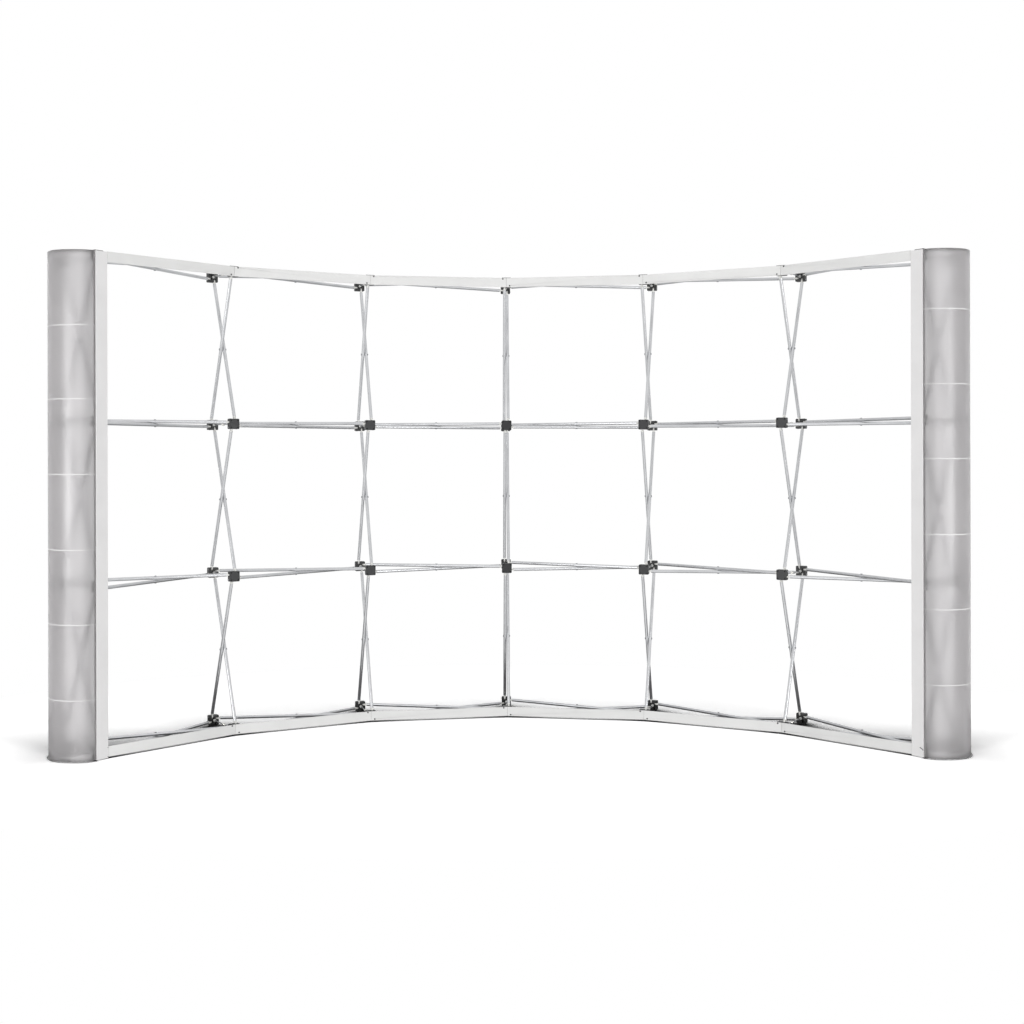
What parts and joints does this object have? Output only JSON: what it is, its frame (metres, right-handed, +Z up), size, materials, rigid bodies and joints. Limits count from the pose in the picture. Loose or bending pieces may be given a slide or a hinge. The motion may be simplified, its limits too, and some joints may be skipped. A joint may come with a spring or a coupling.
{
  "type": "pop-up display backwall frame",
  "caption": "Curved pop-up exhibition frame of crossed tubes between paired hubs, with thin perimeter bars, end posts and bent translucent end panels.",
  "frame": {"origin": "middle of the outline on the floor", "axes": "+X along the wall, -Y towards the viewer on the hollow side, +Z up"},
  "size_m": [4.1428, 1.227, 2.257],
  "materials": {
    "hub_plastic": "moulded satin",
    "foot_rubber": "matt",
    "tube_aluminium": "satin anodised",
    "tip_plastic": "moulded satin",
    "rivet_steel": "plain",
    "arm_metal": "dark satin",
    "magnet_nickel": "nickel plated",
    "peg_plastic": "moulded",
    "bar_aluminium": "satin powder coat",
    "cap_plastic": "moulded",
    "post_aluminium": "satin powder coat",
    "strip_magnet": "matt, faced in pale vinyl",
    "panel_sheet": "frosted"
  },
  "bodies": {
    "frame": {"hub_feet": "foot_rubber", "front_hubs_1": "hub_plastic", "front_hubs_2": "hub_plastic", "front_hubs_3": "hub_plastic", "front_hubs_4": "hub_plastic", "rear_hubs_1": "hub_plastic", "rear_hubs_2": "hub_plastic", "rear_hubs_3": "hub_plastic", "rear_hubs_4": "hub_plastic", "row_tubes_rearward_1": "tube_aluminium", "row_tubes_rearward_2": "tube_aluminium", "row_tubes_rearward_3": "tube_aluminium", "row_tubes_rearward_4": "tube_aluminium", "row_tubes_forward_1": "tube_aluminium", "row_tubes_forward_2": "tube_aluminium", "row_tubes_forward_3": "tube_aluminium", "row_tubes_forward_4": "tube_aluminium", "column_tubes_rearward_1": "tube_aluminium", "column_tubes_rearward_2": "tube_aluminium", "column_tubes_rearward_3": "tube_aluminium", "column_tubes_rearward_4": "tube_aluminium", "column_tubes_rearward_5": "tube_aluminium", "column_tubes_rearward_6": "tube_aluminium", "column_tubes_rearward_7": "tube_aluminium", "column_tubes_forward_1": "tube_aluminium", "column_tubes_forward_2": "tube_aluminium", "column_tubes_forward_3": "tube_aluminium", "column_tubes_forward_4": "tube_aluminium", "column_tubes_forward_5": "tube_aluminium", "column_tubes_forward_6": "tube_aluminium", "column_tubes_forward_7": "tube_aluminium", "row_tips_front": "tip_plastic", "row_tips_rear": "tip_plastic", "column_tips_front": "tip_plastic", "column_tips_rear": "tip_plastic", "cross_rivets": "rivet_steel", "front_arms": "arm_metal", "rear_arms": "arm_metal", "arm_magnets": "magnet_nickel", "locating_pegs": "peg_plastic"},
    "bottom_bar_1": {"bottom_bar_1": "bar_aluminium"},
    "bottom_bar_2": {"bottom_bar_2": "bar_aluminium"},
    "bottom_bar_3": {"bottom_bar_3": "bar_aluminium"},
    "bottom_bar_4": {"bottom_bar_4": "bar_aluminium"},
    "bottom_bar_5": {"bottom_bar_5": "bar_aluminium"},
    "bottom_bar_6": {"bottom_bar_6": "bar_aluminium"},
    "top_bar_1": {"top_bar_1": "bar_aluminium"},
    "top_bar_2": {"top_bar_2": "bar_aluminium"},
    "top_bar_3": {"top_bar_3": "bar_aluminium"},
    "top_bar_4": {"top_bar_4": "bar_aluminium"},
    "top_bar_5": {"top_bar_5": "bar_aluminium"},
    "top_bar_6": {"top_bar_6": "bar_aluminium"},
    "left_post": {"left_post": "post_aluminium", "left_post_caps": "cap_plastic"},
    "right_post": {"right_post": "post_aluminium", "right_post_caps": "cap_plastic"},
    "left_panel": {"left_panel": "panel_sheet", "left_panel_strips": "strip_magnet"},
    "right_panel": {"right_panel": "panel_sheet", "right_panel_strips": "strip_magnet"}
  },
  "joints": [
    {"name": "bottom_bar_1_pull", "type": "slide", "parent": "frame", "child": "bottom_bar_1", "axis": [0.6899, -0.7239, 0], "range_m": [0, 0.12]},
    {"name": "bottom_bar_2_pull", "type": "slide", "parent": "frame", "child": "bottom_bar_2", "axis": [0.4411, -0.8975, 0], "range_m": [0, 0.06]},
    {"name": "bottom_bar_3_pull", "type": "slide", "parent": "frame", "child": "bottom_bar_3", "axis": [0.1517, -0.9884, 0], "range_m": [0, 0.12]},
    {"name": "bottom_bar_4_pull", "type": "slide", "parent": "frame", "child": "bottom_bar_4", "axis": [-0.1517, -0.9884, 0], "range_m": [0, 0.06]},
    {"name": "bottom_bar_5_pull", "type": "slide", "parent": "frame", "child": "bottom_bar_5", "axis": [-0.4411, -0.8975, 0], "range_m": [0, 0.12]},
    {"name": "bottom_bar_6_pull", "type": "slide", "parent": "frame", "child": "bottom_bar_6", "axis": [-0.6899, -0.7239, 0], "range_m": [0, 0.06]},
    {"name": "top_bar_1_pull", "type": "slide", "parent": "frame", "child": "top_bar_1", "axis": [0.6899, -0.7239, 0], "range_m": [0, 0.12]},
    {"name": "top_bar_2_pull", "type": "slide", "parent": "frame", "child": "top_bar_2", "axis": [0.4411, -0.8975, 0], "range_m": [0, 0.06]},
    {"name": "top_bar_3_pull", "type": "slide", "parent": "frame", "child": "top_bar_3", "axis": [0.1517, -0.9884, 0], "range_m": [0, 0.12]},
    {"name": "top_bar_4_pull", "type": "slide", "parent": "frame", "child": "top_bar_4", "axis": [-0.1517, -0.9884, 0], "range_m": [0, 0.06]},
    {"name": "top_bar_5_pull", "type": "slide", "parent": "frame", "child": "top_bar_5", "axis": [-0.4411, -0.8975, 0], "range_m": [0, 0.12]},
    {"name": "top_bar_6_pull", "type": "slide", "parent": "frame", "child": "top_bar_6", "axis": [-0.6899, -0.7239, 0], "range_m": [0, 0.06]},
    {"name": "left_post_pull", "type": "slide", "parent": "frame", "child": "left_post", "axis": [0.7918, -0.6108, 0], "range_m": [0, 0.2]},
    {"name": "left_panel_pull", "type": "slide", "parent": "frame", "child": "left_panel", "axis": [-0.6108, -0.7918, 0], "range_m": [0, 0.35]},
    {"name": "right_post_pull", "type": "slide", "parent": "frame", "child": "right_post", "axis": [-0.7918, -0.6108, 0], "range_m": [0, 0.2]},
    {"name": "right_panel_pull", "type": "slide", "parent": "frame", "child": "right_panel", "axis": [0.6108, -0.7918, 0], "range_m": [0, 0.35]}
  ]
}
